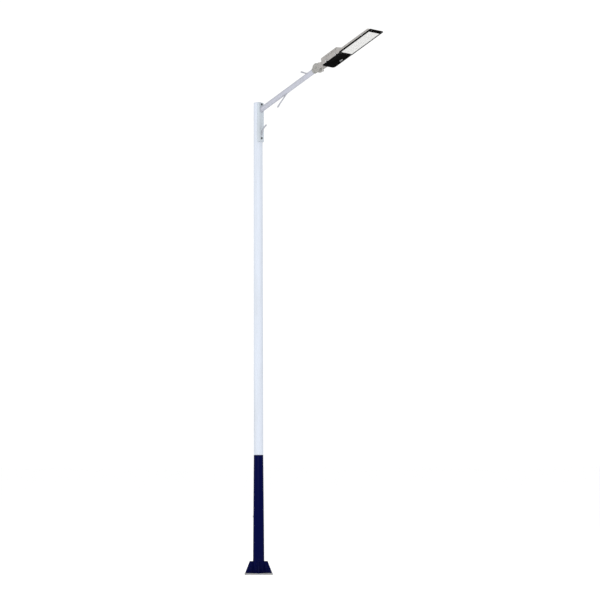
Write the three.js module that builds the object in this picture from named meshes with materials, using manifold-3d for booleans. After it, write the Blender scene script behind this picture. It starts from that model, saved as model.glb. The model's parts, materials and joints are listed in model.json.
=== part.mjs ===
// Street lamp post: a flanged two-colour steel pole, a side-bolted arm on a channel bracket and a
// tilting LED lantern head. Millimetres, +Z up. The origin is on the pole axis at the underside of
// the base flange, and +X runs from the pole towards the lantern.
import * as THREE from 'three';
import { mergeVertices } from 'three/addons/utils/BufferGeometryUtils.js';
import Module from 'manifold-3d';

const wasm = await Module();
wasm.setup();

// ---------------------------------------------------------------- driving dimensions
const GAP = 0.3; // clearance between pieces that touch

const POLE_TOP = 5990;
const FLANGE = { side: 350, thick: 16, corner: 14, boreR: 25, slotPitchR: 198, slotW: 26, slotL: 45 };
const GUSSET = { thick: 8, topZ: 166, topR: 113, footR: 165, toeZ: 34 };
const LOWER = { z0: FLANGE.thick + GAP, z1: 1502, r0: 72.5, r1: 60, wall: 4 };
const UPPER = { z0: LOWER.z1 + GAP, z1: POLE_TOP, r0: 60, r1: 56.5, wall: 3.5 };
const SLEEVE = { z0: LOWER.z1 - 120, z1: LOWER.z1 + 120, wall: 4, fit: 0.5 };
const CAP = { plugR: 52, plugDepth: 10, rimR: 57.5, rimT: 3, crownR: 32, crownH: 10, height: 11 };
const GROMMET = { boreR: 18, lipR: 30, lipT: 4 };

const DOOR = { halfW: 42.5, z0: 550, z1: 900, clear: 1.2, lip: 6 };
const HINGE = { x: -58, y: 50, r: 6.5, pinR: 3, height: 20 };
const HINGE_BASES = { lower: 600, upper: 830 };
const LOCK = { y: -28, z: 725, r: 7, faceX: -68, keyR: 3.5, keyDepth: 4 };
const LOCK_CAM = { x: -34.5, thick: 3, reach: 18, width: 10 };
const RAIL = { x0: 44, x1: 48, halfW: 28, z0: 560, z1: 890 };
const BREAKER = { x0: 18, y0: -27, y1: -5, z0: 760, z1: 850 };
const LEVER = { x: 20, z: 805, r: 4, halfW: 4, reach: 13 };
const TERMINAL = { x0: 20, halfW: 22, z0: 620, z1: 680, wayYs: [-15, -5, 5, 15], wayR: 3, wayDepth: 15 };
const EARTH_STUD = { r: 4, headAF: 13, headX: [34, 39], tipX: 26, z: 588 };

const BRACKET = { faceX: 62, wall: 4, halfW: 42, backX: 34, backHalfW: 51, z0: 5487, z1: 5986 };
const BOLT = { r: 6, headAF: 22, headT: 8, tipX: -72, nutAF: 19, nutT: 10, zs: { lower: 5533, upper: 5968 } };
const CABLE = { r: 4.5, holeR: 14, holeZ: 5896, climbY: 18, knuckleZ: -20 };

const ARM_TILT = THREE.MathUtils.degToRad(23);
const ARM_ROOT = new THREE.Vector3(BRACKET.faceX, 0, 5901);
const ARM_REACH = 1065; // from the bracket face to the tilt axis, along the arm
const ARM = { r: 32, wall: 3, endX: -62.5 };
const SPUR_R = 7.5;

const KNUCKLE = { discR: 55, drumR: 50, gapY: 22, halfW: 45 };
const AXLE = { r: 8, headR: 15, headT: 9, nutR: 14, nutT: 12, tailT: 15 };
const SOCKET = { x0: -78, x1: -56.5, r: 37, tongueZ: 34, floor: 5.5, screwX: -70, screwR: 4 };
const TILT_LOCK = { x: 60, r: 5, topZ: -47, bossR: 11, bossZ: -77, headR: 9, headT: 7 };

const HEAD = { rearX: 150, tipX: 1026, halfW: 116, rimZ: -66, faceZ: -72, plateZ: -68 };
const NOSE = { x: 988, z: -60 }; // the top slopes down to the tip from x, and meets it at z
const BOX = { topZ: 27, frontX: 445, rampX: 523, stepY: 104, stepZ: -14 }; // raised gear housing
const SLAB_TOP = -30; // top of the flat LED section
// Gear compartment: a high part under the raised roof and a wider low part inside the rim.
const BAY = { x0: 162, x1: 470, highX1: 438, halfW: 98, topZ: 17, lowHalfW: 108, lowTopZ: -22 };
const RECESS = { x0: 484, x1: 996, halfW: 107, topZ: -47 }; // LED compartment
const FIN = { x0: 545, pitch: 18, count: 25, slotW: 10, floorZ: -42, spineHalf: 14 };
const COVER = { x0: 152, x1: 466, halfW: 113, hingeY: -121, hingeZ: -69, barrelR: 4.5, pinR: 2 };
const COVER_HINGES = { rear: 231, front: 403 };
const COVER_LATCH = { x: 336, y: 54, r: 5, camL: 40 };
const WINDOW = { x0: 482, x1: 984, halfW: 102 };
const FRAME_SCREW = { xs: [474, 1017], y: 88, holeR: 2.8, r: 2.5, headR: 4.5, headT: 2.2, tipZ: -57 };
const SIDE_CLIP = { x: [868, 896], thick: 2.7 };
const BREATHER = { x0: 141, z: -56, r: 8 };

// Control gear under the roof of its compartment; each drop is the depth below the roof.
const DRIVER = { x: [200, 370], y: [-88, -20], drop: 42 };
const DRIVER_FOOT = { x: [186, 384], y: [-80, -28], drop: 4 };
const SURGE = { x: [392, 432], y: [-82, -44], drop: 34 };
const HEAD_TERMINALS = { x: [204, 256], y: [14, 50], drop: 30, wayYs: [22, 42], wayR: 3.5, wayDepth: 16 };
const GLAND = { r: 11.5, x: [146, 173], z: -11, nutAF: 32, nutT: 9 };

// ---------------------------------------------------------------- finishes
const finish = (color, roughness, metalness) => ({ color, roughness, metalness });
const FINISH = {
  navy: finish(0x080c46, 0.42, 0.2),
  white: finish(0xe2ebf4, 0.45, 0.1),
  galvanised: finish(0xa3a6a9, 0.55, 0.8),
  stainless: finish(0xd0d2d4, 0.3, 0.95),
  castGrey: finish(0x9d9a97, 0.55, 0.35),
  black: finish(0x0b0b0c, 0.45, 0.1),
  lens: finish(0xf2f2f0, 0.2, 0.0),
  board: finish(0xe9ece8, 0.6, 0.0),
  rubber: finish(0x161616, 0.85, 0.0),
  greyPlastic: finish(0x6d7276, 0.6, 0.0),
  aluminium: finish(0xc4c6c8, 0.4, 0.9),
  brass: finish(0xb58d3d, 0.4, 0.9),
  boltSteel: finish(0x5d6165, 0.45, 0.85),
};

// ---------------------------------------------------------------- solid helpers
function toSolid(geometry) {
  const bare = geometry.index ? geometry.toNonIndexed() : geometry.clone();
  bare.deleteAttribute('normal');
  bare.deleteAttribute('uv');
  const merged = mergeVertices(bare, 1e-4);
  return new wasm.Manifold(new wasm.Mesh({
    numProp: 3,
    vertProperties: merged.attributes.position.array,
    triVerts: Uint32Array.from(merged.index.array),
  }));
}

function toGeometry(solid) {
  const { vertProperties, triVerts } = solid.getMesh();
  const geometry = new THREE.BufferGeometry();
  geometry.setAttribute('position', new THREE.BufferAttribute(vertProperties, 3));
  geometry.setIndex(new THREE.BufferAttribute(triVerts, 1));
  geometry.computeVertexNormals();
  return geometry;
}

function join(...shapes) {
  return toGeometry(shapes.map(toSolid).reduce((whole, next) => whole.add(next)));
}

function cut(shape, ...tools) {
  return toGeometry(tools.reduce((rest, tool) => rest.subtract(toSolid(tool)), toSolid(shape)));
}

function common(shape, other) {
  return toGeometry(toSolid(shape).intersect(toSolid(other)));
}

function box([x0, x1], [y0, y1], [z0, z1]) {
  return new THREE.BoxGeometry(x1 - x0, y1 - y0, z1 - z0)
    .translate((x0 + x1) / 2, (y0 + y1) / 2, (z0 + z1) / 2);
}

// Cylinders along each axis; `at` holds the two other coordinates in axis order.
function rodX(r, [x0, x1], [y, z], sides = 32) {
  return new THREE.CylinderGeometry(r, r, x1 - x0, sides)
    .rotateZ(-Math.PI / 2).translate((x0 + x1) / 2, y, z);
}

function rodY(r, [y0, y1], [x, z], sides = 32) {
  return new THREE.CylinderGeometry(r, r, y1 - y0, sides).translate(x, (y0 + y1) / 2, z);
}

function rodZ(r, [z0, z1], [x, y], sides = 32) {
  return new THREE.CylinderGeometry(r, r, z1 - z0, sides)
    .rotateX(Math.PI / 2).translate(x, y, (z0 + z1) / 2);
}

// A body of revolution about Z from [radius, z] points listed anticlockwise in the (r, z) plane.
function turned(points, sides = 40) {
  const profile = [...points, points[0]].map(([r, z]) => new THREE.Vector2(r, z));
  return new THREE.LatheGeometry(profile, sides).rotateX(Math.PI / 2);
}

function outline(points) {
  return new THREE.Shape(points.map(([a, b]) => new THREE.Vector2(a, b)));
}

// Prism standing on the XY plane between two heights.
function planPrism(shape, [z0, z1], curveSegments = 5) {
  return new THREE.ExtrudeGeometry(shape, { depth: z1 - z0, bevelEnabled: false, curveSegments })
    .translate(0, 0, z0);
}

// Prism whose outline lies in the XZ plane, running between two Y values.
function sidePrism(shape, [y0, y1], curveSegments = 6) {
  return new THREE.ExtrudeGeometry(shape, { depth: y1 - y0, bevelEnabled: false, curveSegments })
    .rotateX(Math.PI / 2).translate(0, y1, 0);
}

function roundedRect([x0, x1], [y0, y1], [rLeft, rRight]) {
  const shape = new THREE.Shape();
  shape.moveTo(x0 + rLeft, y0);
  shape.lineTo(x1 - rRight, y0);
  shape.absarc(x1 - rRight, y0 + rRight, rRight, -Math.PI / 2, 0, false);
  shape.absarc(x1 - rRight, y1 - rRight, rRight, 0, Math.PI / 2, false);
  shape.absarc(x0 + rLeft, y1 - rLeft, rLeft, Math.PI / 2, Math.PI, false);
  shape.absarc(x0 + rLeft, y0 + rLeft, rLeft, Math.PI, 1.5 * Math.PI, false);
  return shape;
}

// A round bar of constant section along a smooth curve.
function bar(points, r, steps, sides = 10) {
  const curve = new THREE.CatmullRomCurve3(points.map((p) => new THREE.Vector3(...p)));
  const ring = Array.from({ length: sides }, (_, i) => {
    const angle = (2 * Math.PI * i) / sides;
    return [r * Math.cos(angle), r * Math.sin(angle)];
  });
  return new THREE.ExtrudeGeometry(outline(ring), { steps, bevelEnabled: false, extrudePath: curve });
}

function hexX(acrossFlats, span, at) {
  return rodX(acrossFlats / Math.sqrt(3), span, at, 6);
}

// Bolt along X: a hexagon head on the end of a round shank.
function hexBoltX(r, [shank0, shank1], [head0, head1], at, acrossFlats) {
  return join(rodX(r, [shank0, shank1], at, 20), hexX(acrossFlats, [head0, head1], at));
}

// ---------------------------------------------------------------- scene helpers
const post = new THREE.Group();
const KNUCKLE_AT = ARM_ROOT.clone().add(
  new THREE.Vector3(Math.cos(ARM_TILT), 0, Math.sin(ARM_TILT)).multiplyScalar(ARM_REACH));
// The lantern is laid out in a frame with its origin on the tilt axis and +x along the arm.
const lantern = new THREE.Group();
lantern.position.copy(KNUCKLE_AT);
lantern.rotation.y = -ARM_TILT;
lantern.updateMatrix();
post.add(lantern);

function piece(name, look, geometry, parent = post) {
  const mesh = new THREE.Mesh(geometry, new THREE.MeshStandardMaterial(look));
  mesh.name = name;
  parent.add(mesh);
}

const lanternPiece = (name, look, geometry) => piece(name, look, geometry, lantern);
const fromLantern = (x, y, z) => new THREE.Vector3(x, y, z).applyMatrix4(lantern.matrix).toArray();

// ---------------------------------------------------------------- base and shafts
const lowerR = (z) => THREE.MathUtils.mapLinear(z, LOWER.z0, LOWER.z1, LOWER.r0, LOWER.r1);

// Hollow slice of the lower shaft between two offsets from its outer surface.
function lowerShell(outward, inward, [z0, z1]) {
  return turned([
    [lowerR(z0) + inward, z0], [lowerR(z0) + outward, z0],
    [lowerR(z1) + outward, z1], [lowerR(z1) + inward, z1],
  ]);
}

function makeFlange() {
  const half = FLANGE.side / 2;
  const plate = planPrism(roundedRect([-half, half], [-half, half], [FLANGE.corner, FLANGE.corner]),
    [0, FLANGE.thick]).rotateZ(Math.PI / 4);
  const bore = rodZ(FLANGE.boreR, [-1, FLANGE.thick + 1], [0, 0]);
  const { slotPitchR: r, slotL, slotW } = FLANGE;
  const slots = [0, 1, 2, 3].map((quarter) => planPrism(
    roundedRect([r - slotL / 2, r + slotL / 2], [-slotW / 2, slotW / 2], [slotW / 2, slotW / 2]),
    [-1, FLANGE.thick + 1]).rotateZ((quarter * Math.PI) / 2));
  piece('base_flange', FINISH.galvanised, cut(plate, bore, ...slots));
  piece('cable_grommet', FINISH.rubber, turned([
    [GROMMET.boreR, 0], [FLANGE.boreR - GAP, 0], [FLANGE.boreR - GAP, FLANGE.thick + GAP],
    [GROMMET.lipR, FLANGE.thick + GAP], [GROMMET.lipR, FLANGE.thick + GROMMET.lipT],
    [GROMMET.boreR, FLANGE.thick + GROMMET.lipT],
  ], 24));
}

function makeGussets() {
  const { topZ, topR, footR, toeZ, thick } = GUSSET;
  const profile = outline([
    [LOWER.r0 + GAP, LOWER.z0], [footR, LOWER.z0], [footR, toeZ], [topR, topZ],
    [lowerR(topZ) + GAP, topZ],
  ]);
  for (const angle of [45, 135, 225, 315]) {
    piece(`gusset_${angle}`, FINISH.navy,
      sidePrism(profile, [-thick / 2, thick / 2]).rotateZ(THREE.MathUtils.degToRad(angle)));
  }
}

// Hinge barrel with a web towards the piece that carries it.
function hingeBarrel(z0, web) {
  const z1 = z0 + HINGE.height;
  return cut(join(rodZ(HINGE.r, [z0, z1], [HINGE.x, HINGE.y], 24), box(...web, [z0, z1])),
    rodZ(HINGE.pinR + GAP, [z0 - 1, z1 + 1], [HINGE.x, HINGE.y], 24));
}

function makeLowerShaft() {
  const shell = lowerShell(0, -LOWER.wall, [LOWER.z0, LOWER.z1]);
  const doorway = box([-90, -20], [-DOOR.halfW, DOOR.halfW], [DOOR.z0, DOOR.z1]);
  const barrels = Object.values(HINGE_BASES).map((z) => hingeBarrel(z, [[HINGE.x, -43], [46.5, 55]]));
  piece('lower_shaft', FINISH.navy, join(cut(shell, doorway), ...barrels));

  const reach = 12;
  const lip = lowerShell(-LOWER.wall - GAP, -LOWER.wall - 3, [DOOR.z0 - reach, DOOR.z1 + reach]);
  const halfOuter = DOOR.halfW + reach;
  const halfInner = DOOR.halfW - DOOR.lip;
  piece('door_frame', FINISH.galvanised, cut(
    common(lip, box([-90, -10], [-halfOuter, halfOuter], [DOOR.z0 - 20, DOOR.z1 + 20])),
    box([-90, -10], [-halfInner, halfInner], [DOOR.z0 + DOOR.lip, DOOR.z1 - DOOR.lip])));
}

function makeUpperShaft() {
  const shell = turned([
    [UPPER.r0 - UPPER.wall, UPPER.z0], [UPPER.r0, UPPER.z0],
    [UPPER.r1, UPPER.z1], [UPPER.r1 - UPPER.wall, UPPER.z1],
  ]);
  const boltHoles = Object.values(BOLT.zs).map((z) => rodX(BOLT.r + 0.5, [-80, 80], [0, z], 20));
  piece('upper_shaft', FINISH.white,
    cut(shell, ...boltHoles, rodX(CABLE.holeR, [0, 80], [0, CABLE.holeZ], 24)));

  // The sleeve follows the lower shaft's taper up to the joint and is straight above it.
  const [skirtR, plugR] = [SLEEVE.z0, LOWER.z1].map((z) => lowerR(z) - LOWER.wall - SLEEVE.fit);
  piece('shaft_sleeve', FINISH.galvanised, turned([
    [skirtR - SLEEVE.wall, SLEEVE.z0], [skirtR, SLEEVE.z0], [plugR, LOWER.z1], [plugR, SLEEVE.z1],
    [plugR - SLEEVE.wall, SLEEVE.z1], [plugR - SLEEVE.wall, LOWER.z1],
  ]));
  piece('pole_cap', FINISH.white, turned([
    [0, POLE_TOP - CAP.plugDepth], [CAP.plugR, POLE_TOP - CAP.plugDepth], [CAP.plugR, POLE_TOP + GAP],
    [CAP.rimR, POLE_TOP + GAP], [CAP.rimR, POLE_TOP + CAP.rimT],
    [CAP.crownR, POLE_TOP + CAP.crownH], [0, POLE_TOP + CAP.height],
  ], 32));
}

// ---------------------------------------------------------------- service door and its gear
function makeServiceDoor() {
  const { halfW, z0, z1, clear } = DOOR;
  const panel = common(lowerShell(0, -LOWER.wall, [z0, z1]),
    box([-90, -20], [-halfW + clear, halfW - clear], [z0 + clear, z1 - clear]));
  const barrels = Object.values(HINGE_BASES).map((z) =>
    hingeBarrel(z + HINGE.height + 0.6, [[-62, -54], [33, HINGE.y]]));
  const keyhole = rodX(LOCK.r + GAP, [-90, -20], [LOCK.y, LOCK.z], 24);
  piece('service_door', FINISH.navy, cut(join(panel, ...barrels), keyhole));
  for (const [name, z] of Object.entries(HINGE_BASES)) {
    piece(`door_hinge_pin_${name}`, FINISH.stainless,
      rodZ(HINGE.pinR, [z - 3, z + 2 * HINGE.height + 4], [HINGE.x, HINGE.y], 20));
  }
  const { faceX, keyR, keyDepth, y, z, r } = LOCK;
  const { x: camX, thick, reach, width } = LOCK_CAM;
  const cam = box([camX - thick / 2, camX + thick / 2], [y - width / 2, y + width / 2],
    [z - width / 2, z + reach]);
  const keyRecess = rodX(keyR, [faceX - 1, faceX + keyDepth], [y, z], 3);
  piece('lock_barrel', FINISH.stainless, cut(join(rodX(r, [faceX, camX], [y, z], 24), cam), keyRecess));
}

function makeServiceGear() {
  const { x0, x1, halfW, z0, z1 } = RAIL;
  const feet = [z0 + 20, z1 - 20].map((z) => box([x1 - 1, 59.5], [-6, 6], [z - 8, z + 8]));
  piece('equipment_rail', FINISH.galvanised, join(box([x0, x1], [-halfW, halfW], [z0, z1]), ...feet));

  const b = BREAKER;
  const leverY = (b.y0 + b.y1) / 2;
  const leverSlot = box([b.x0 - 1, LEVER.x + 7], [leverY - 5, leverY + 5], [LEVER.z - 13, LEVER.z + 13]);
  piece('circuit_breaker', FINISH.greyPlastic,
    cut(box([b.x0, x0 - GAP], [b.y0, b.y1], [b.z0, b.z1]), leverSlot));
  piece('breaker_lever', FINISH.black, join(
    rodY(LEVER.r, [leverY - LEVER.halfW, leverY + LEVER.halfW], [LEVER.x, LEVER.z], 20),
    box([LEVER.x - LEVER.reach, LEVER.x], [leverY - 3, leverY + 3], [LEVER.z - 2, LEVER.z + 2])));

  const t = TERMINAL;
  const wireWays = t.wayYs.map((y) => rodZ(t.wayR, [t.z0 - 1, t.z0 + t.wayDepth], [t.x0 + 12, y], 12));
  piece('service_terminals', FINISH.greyPlastic,
    cut(box([t.x0, x0 - GAP], [-t.halfW, t.halfW], [t.z0, t.z1]), ...wireWays));
  const stud = EARTH_STUD;
  piece('earth_stud', FINISH.brass,
    hexBoltX(stud.r, [stud.tipX, x0 - GAP], stud.headX, [0, stud.z], stud.headAF));
}

// One lead runs from the terminals up the pole, through the bracket and along the arm.
function makeSupplyCable() {
  const rise = [[30, 12, TERMINAL.z1 + 1], [30, 12, 695], [30, 19, 740], [28, 20, 850], [12, 18, 1000]];
  const climb = [1300, 2200, 3100, 4000, 4900, 5600, 5800].map((z) => [0, CABLE.climbY, z]);
  const turn = [[10, 10, 5862], [30, 2, 5885], [46, 0, 5893], [62, 0, 5900]];
  const along = [[-900, -4], [-500, -8], [-160, -18], [-90, CABLE.knuckleZ], [30, CABLE.knuckleZ]];
  const route = [...rise, ...climb, ...turn, ...along.map(([x, z]) => fromLantern(x, 0, z))];
  piece('supply_cable', FINISH.rubber, bar(route, CABLE.r, 70, 8));
}

// ---------------------------------------------------------------- arm
function makeBracket() {
  const { faceX, wall, halfW, backX, backHalfW, z0, z1 } = BRACKET;
  const half = [
    [backX, backHalfW], [faceX, halfW], [faceX, -halfW], [backX, -backHalfW],
    [backX, wall - backHalfW], [faceX - wall, wall - halfW],
    [faceX - wall, halfW - wall], [backX, backHalfW - wall],
  ].reverse();
  const boltHoles = Object.values(BOLT.zs).map((z) => rodX(BOLT.r + 0.5, [40, 80], [0, z], 20));
  piece('arm_bracket', FINISH.white, cut(planPrism(outline(half), [z0, z1]),
    ...boltHoles, rodX(CABLE.holeR, [40, 80], [0, CABLE.holeZ], 24)));

  const headX = faceX + GAP;
  const rearX = -UPPER.r1 - 1;
  for (const [name, z] of Object.entries(BOLT.zs)) {
    piece(`bracket_bolt_${name}`, FINISH.boltSteel,
      hexBoltX(BOLT.r, [BOLT.tipX, headX + 1], [headX, headX + BOLT.headT], [0, z], BOLT.headAF));
    const nut = hexX(BOLT.nutAF, [rearX - BOLT.nutT, rearX], [0, z]);
    piece(`bracket_nut_${name}`, FINISH.boltSteel,
      cut(nut, rodX(BOLT.r + GAP, [rearX - BOLT.nutT - 1, rearX + 1], [0, z], 20)));
  }
}

// The arm's outer or inner cylinder, placed in the pole's frame.
function armRod(r) {
  return rodX(r, [-ARM_REACH - 60, ARM.endX], [0, 0], 40).applyMatrix4(lantern.matrix);
}

function makeArm() {
  const beforeFace = box([-100, BRACKET.faceX + GAP], [-60, 60], [5700, 6100]);
  piece('arm_tube', FINISH.white, cut(armRod(ARM.r), armRod(ARM.r - ARM.wall), beforeFace));

  // Ornamental horns: [distance from the bracket face along the arm, height above its axis].
  const onArm = ([s, h]) => fromLantern(s - ARM_REACH, 0, h);
  const horns = {
    arm_spur_lower: [[480, -24], [430, -44], [362, -70], [310, -89], [263, -111]],
    arm_spur_upper: [[880, 20], [862, 38], [842, 55], [820, 75], [793, 97]],
  };
  for (const [name, points] of Object.entries(horns)) {
    piece(name, FINISH.white, cut(bar(points.map(onArm), SPUR_R, 12), armRod(ARM.r + GAP)));
  }
  const hook = bar([[56, 0, 5566], [66, 0, 5596], [82, 0, 5636], [110, 0, 5668], [142, 0, 5693]],
    SPUR_R, 12);
  piece('bracket_spur', FINISH.white,
    cut(hook, box([0, BRACKET.faceX + GAP], [-60, 60], [5400, 5700])));
}

// ---------------------------------------------------------------- tilting knuckle
function makeKnuckle() {
  const { drumR, gapY, halfW } = KNUCKLE;
  const { x0, x1, r, tongueZ, floor, screwX, screwR } = SOCKET;
  const inner = gapY - 0.5;
  const body = join(rodX(r, [x0, x1], [0, 0], 40), box([x1 - 1, 0], [-inner, inner], [-tongueZ, tongueZ]),
    rodY(drumR, [-inner, inner], [0, 0], 40));
  const screwHole = rodY(screwR + GAP, [-60, 60], [screwX, 0], 20);
  lanternPiece('knuckle_socket', FINISH.castGrey, cut(body,
    rodX(ARM.r + GAP, [x0 - 1, x1 - floor], [0, 0], 40),
    rodY(AXLE.r + GAP, [-60, 60], [0, 0], 24), rodX(7, [-70, 60], [0, CABLE.knuckleZ], 20), screwHole));
  for (const [name, side] of [['near', -1], ['far', 1]]) {
    const span = [ARM.r + 2 * GAP, r + 6].map((y) => y * side).sort((a, b) => a - b);
    lanternPiece(`socket_screw_${name}`, FINISH.stainless, rodY(screwR, span, [screwX, 0], 20));
  }
  const headY = -halfW - GAP;
  const axle = rodY(AXLE.r, [headY - 1, halfW + AXLE.tailT], [0, 0], 24);
  const head = rodY(AXLE.headR, [headY - AXLE.headT, headY], [0, 0], 6);
  lanternPiece('knuckle_bolt', FINISH.castGrey, join(axle, head));
  const nut = rodY(AXLE.nutR, [halfW + GAP, halfW + AXLE.nutT], [0, 0], 6);
  lanternPiece('knuckle_nut', FINISH.boltSteel, cut(nut, rodY(AXLE.r + GAP, [0, 80], [0, 0], 24)));
}

// ---------------------------------------------------------------- lantern housing
function housingShell() {
  const { rearX, tipX, halfW, rimZ } = HEAD;
  const side = outline([
    [rearX, rimZ], [tipX, rimZ], [tipX, NOSE.z], [NOSE.x, SLAB_TOP], [BOX.rampX, SLAB_TOP + 2],
    [BOX.frontX, BOX.topZ], [rearX + 18, BOX.topZ], [rearX, BOX.topZ - 22],
  ]);
  const plan = roundedRect([rearX, tipX], [-halfW, halfW], [36, 9]);
  const steps = [-1, 1].map((s) => box([rearX - 1, BOX.rampX + 2],
    [BOX.stepY * s, (halfW + 1) * s].sort((a, b) => a - b), [BOX.stepZ, BOX.topZ + 1]));
  return cut(common(sidePrism(side, [-halfW - 1, halfW + 1]), planPrism(plan, [-200, 200], 7)), ...steps);
}

function finSlots() {
  const slots = [];
  for (let i = 0; i < FIN.count; i += 1) {
    const x = FIN.x0 + i * FIN.pitch;
    for (const [y0, y1] of [[-HEAD.halfW - 2, -FIN.spineHalf], [FIN.spineHalf, HEAD.halfW + 2]]) {
      slots.push(box([x, x + FIN.slotW], [y0, y1], [FIN.floorZ, 0]));
    }
  }
  return slots;
}

function neckParts() {
  const { discR, gapY, halfW } = KNUCKLE;
  const sides = [[-halfW, -gapY], [gapY, halfW]];
  const cheeks = sides.flatMap((span) => [
    rodY(discR, span, [0, 0], 40),
    sidePrism(outline([[0, -38], [72, -38], [72, 34], [0, 38]]), span),
  ]);
  const web = sidePrism(outline([[62, -38], [HEAD.rearX + 6, -44], [HEAD.rearX + 6, 10], [62, 30]]),
    [-halfW, halfW]);
  const boss = rodZ(TILT_LOCK.bossR, [TILT_LOCK.bossZ, -36], [TILT_LOCK.x, 0], 24);
  return [...cheeks, web, boss];
}

function makeHousing() {
  const { x: lockX, r, topZ, bossZ, headR, headT } = TILT_LOCK;
  const keeper = box([COVER_LATCH.x - 16, COVER_LATCH.x + 16], [86, BAY.lowHalfW + 2], [-64, -60]);
  const outside = join(housingShell(), ...neckParts());
  const hollows = [
    box([BAY.x0, BAY.highX1], [-BAY.halfW, BAY.halfW], [HEAD.rimZ - 1, BAY.topZ]),
    box([BAY.x0 + 12, BAY.x1], [-BAY.lowHalfW, BAY.lowHalfW], [HEAD.rimZ - 1, BAY.lowTopZ]),
    box([RECESS.x0, RECESS.x1], [-RECESS.halfW, RECESS.halfW], [HEAD.rimZ - 1, RECESS.topZ]),
    box([60, BAY.x0 + 1], [-12, 12], [-30, 8]),
    rodY(AXLE.r + GAP, [-60, 60], [0, 0], 24),
    rodZ(r + GAP, [bossZ - 1, topZ + 1], [lockX, 0], 20),
    ...frameScrewSpots().map((at) => rodZ(FRAME_SCREW.holeR, [HEAD.rimZ - 1, FRAME_SCREW.tipZ + 1], at, 12)),
  ];
  lanternPiece('head_housing', FINISH.castGrey, join(cut(outside, ...hollows, ...finSlots()), keeper));
  const underBoss = bossZ - GAP;
  lanternPiece('tilt_lock_screw', FINISH.stainless, join(
    rodZ(r, [underBoss - 1, topZ], [lockX, 0], 20),
    rodZ(headR, [underBoss - headT, underBoss], [lockX, 0], 6)));
  lanternPiece('breather_valve', FINISH.greyPlastic,
    rodX(BREATHER.r, [BREATHER.x0, HEAD.rearX - GAP], [0, BREATHER.z], 20));
}

// ---------------------------------------------------------------- lantern contents
function frameScrewSpots() {
  return FRAME_SCREW.xs.flatMap((x) => [[x, -FRAME_SCREW.y], [x, FRAME_SCREW.y]]);
}

// A flat ring under the housing rim, between the outer and inner rectangles.
function flatRing([x0, x1], halfW, width, [z0, z1]) {
  return cut(box([x0, x1], [-halfW, halfW], [z0, z1]),
    box([x0 + width, x1 - width], [width - halfW, halfW - width], [z0 - 1, z1 + 1]));
}

function makeLightEngine() {
  const { tipX, halfW, faceZ, plateZ, rimZ } = HEAD;
  const plate = planPrism(roundedRect([COVER.x1 + 0.8, tipX], [-halfW, halfW], [2, 9]), [faceZ, plateZ]);
  lanternPiece('lens_frame', FINISH.black, cut(plate,
    box([WINDOW.x0, WINDOW.x1], [-WINDOW.halfW, WINDOW.halfW], [faceZ - 1, plateZ + 1]),
    ...frameScrewSpots().map((at) => rodZ(FRAME_SCREW.holeR, [faceZ - 1, plateZ + 1], at, 12))));
  lanternPiece('lens_gasket', FINISH.rubber,
    flatRing([RECESS.x0 - 5.5, RECESS.x1 + 5.5], RECESS.halfW + 5.5, 5, [plateZ + GAP, rimZ - GAP]));
  lanternPiece('lens_panel', FINISH.lens, box([RECESS.x0 + 0.5, RECESS.x1 - 0.5],
    [0.5 - RECESS.halfW, RECESS.halfW - 0.5], [plateZ + GAP, plateZ + 5]));
  lanternPiece('led_board', FINISH.board, box([RECESS.x0 + 10, RECESS.x1 - 10],
    [10 - RECESS.halfW, RECESS.halfW - 10], [RECESS.topZ - 3, RECESS.topZ - GAP]));
  const headTop = faceZ - GAP;
  frameScrewSpots().forEach((at, i) => lanternPiece(`frame_screw_${i + 1}`, FINISH.stainless, join(
    rodZ(FRAME_SCREW.r, [faceZ - 1, FRAME_SCREW.tipZ], at, 12),
    rodZ(FRAME_SCREW.headR, [headTop - FRAME_SCREW.headT, headTop], at, 16))));
  for (const [name, side] of [['near', -1], ['far', 1]]) {
    const span = [halfW + GAP, halfW + GAP + SIDE_CLIP.thick].map((y) => y * side).sort((a, b) => a - b);
    lanternPiece(`side_clip_${name}`, FINISH.stainless, box(SIDE_CLIP.x, span, [rimZ + 2, SLAB_TOP - 14]));
  }
}

function makeControlGear() {
  const top = BAY.topZ - GAP;
  const hung = ({ x, y, drop }) => box(x, y, [top - drop, top]);
  lanternPiece('led_driver', FINISH.aluminium, join(hung(DRIVER), hung(DRIVER_FOOT)));
  lanternPiece('surge_protector', FINISH.greyPlastic, hung(SURGE));
  const { x: [, frontX], drop, wayYs, wayR, wayDepth } = HEAD_TERMINALS;
  const wireWays = wayYs.map((y) => rodX(wayR, [frontX - wayDepth, frontX + 1], [y, top - drop / 2], 12));
  lanternPiece('head_terminals', FINISH.greyPlastic, cut(hung(HEAD_TERMINALS), ...wireWays));
  const nut = hexX(GLAND.nutAF, [BAY.x0 + GAP, BAY.x0 + GLAND.nutT], [0, GLAND.z]);
  lanternPiece('cable_gland', FINISH.rubber, cut(join(rodX(GLAND.r, GLAND.x, [0, GLAND.z], 24), nut),
    rodX(CABLE.r + GAP, [140, 180], [0, GLAND.z], 16)));

  const throughGland = [120, 146, 162, 178].map((x) => [x, 0, GLAND.z]);
  lanternPiece('head_lead', FINISH.rubber, bar([[62, 0, CABLE.knuckleZ], [90, 0, -15], ...throughGland,
    [188, 10, -8], [194, 26, -4], [202, 30, -2]], CABLE.r - 0.7, 28, 8));
}

// ---------------------------------------------------------------- gear cover
// Half of a cover hinge: a barrel along X beside the housing, joined to `leaf`.
function coverBarrel([x0, x1], leaf) {
  const at = [COVER.hingeY, COVER.hingeZ];
  return cut(join(rodX(COVER.barrelR, [x0, x1], at, 20), leaf),
    rodX(COVER.pinR + GAP, [x0 - 1, x1 + 1], at, 16));
}

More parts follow.
